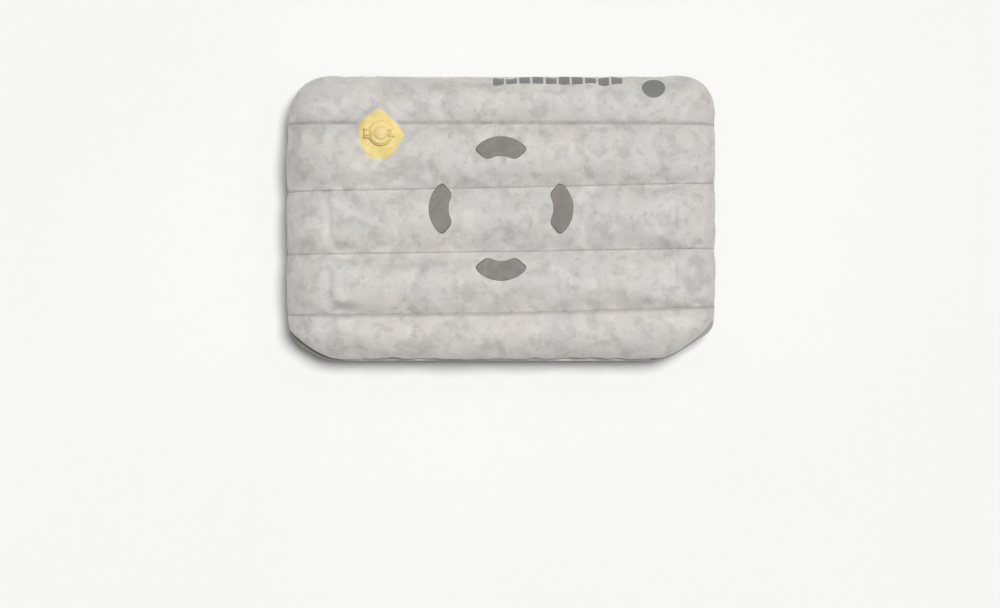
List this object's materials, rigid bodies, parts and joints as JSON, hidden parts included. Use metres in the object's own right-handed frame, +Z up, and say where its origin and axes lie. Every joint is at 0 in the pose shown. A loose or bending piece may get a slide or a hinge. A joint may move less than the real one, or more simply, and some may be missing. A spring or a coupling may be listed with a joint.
{
  "type": "camp pillow",
  "caption": "Foam-cored self-inflating camp pillow with cross channels, a hinged two-stage air valve and grip patches.",
  "frame": {"origin": "on the surface that the pillow rests on, under the middle of its outline", "axes": "+X along the channels and the long side, away from the valve; +Y across the channels, towards the edge beside the valve; +Z up through the patched face"},
  "size_m": [0.42, 0.28, 0.1046],
  "materials": {
    "printed_fabric": "matte coated fabric with a mottled warm grey print",
    "base_fabric": "matte coated plain grey fabric",
    "foam": "open-cell polyurethane foam",
    "baffle_film": "thin coated fabric",
    "patch_film": "welded grey film with a matte edge",
    "patch_pile": "short looped grip pile",
    "valve_film": "soft yellow welded film",
    "valve_body": "satin moulded amber polymer",
    "valve_lid": "satin moulded yellow polymer",
    "silicone": "translucent white silicone",
    "pin": "smooth grey hinge pin"
  },
  "bodies": {
    "pillow": {"top_panel": "printed_fabric", "bottom_panel": "base_fabric", "foam_core_1": "foam", "foam_core_2": "foam", "foam_core_3": "foam", "foam_core_4": "foam", "foam_core_5": "foam", "baffle_1": "baffle_film", "baffle_2": "baffle_film", "baffle_3": "baffle_film", "baffle_4": "baffle_film", "patch_backing_back": "patch_film", "patch_backing_left": "patch_film", "patch_backing_front": "patch_film", "patch_backing_right": "patch_film", "patch_pile_back": "patch_pile", "patch_pile_left": "patch_pile", "patch_pile_front": "patch_pile", "patch_pile_right": "patch_pile", "valve_flange": "valve_film", "valve_seat": "valve_body", "valve_backing_ring": "valve_body", "dump_hinge_pin": "pin"},
    "dump_plug": {"dump_plug": "valve_lid", "dump_gasket": "silicone", "cap_hinge_pin": "pin"},
    "inflate_cap": {"inflate_cap": "valve_body"},
    "one_way_flap": {"one_way_flap": "silicone"}
  },
  "joints": [
    {"name": "dump_plug_hinge", "type": "hinge", "parent": "pillow", "child": "dump_plug", "pos_m": [-0.1313, 0.082, 0.10075], "axis": [0, -1, 0], "range_deg": [0, 120]},
    {"name": "inflate_cap_hinge", "type": "hinge", "parent": "dump_plug", "child": "inflate_cap", "pos_m": [-0.1078, 0.082, 0.1034], "axis": [0, 1, 0], "range_deg": [0, 150]},
    {"name": "one_way_flap_hinge", "type": "hinge", "parent": "dump_plug", "child": "one_way_flap", "pos_m": [-0.1201, 0.082, 0.0994], "axis": [0, 1, 0], "range_deg": [0, 50], "stiffness_Nm_per_rad": 0.000003, "springref_deg": -11.46}
  ]
}
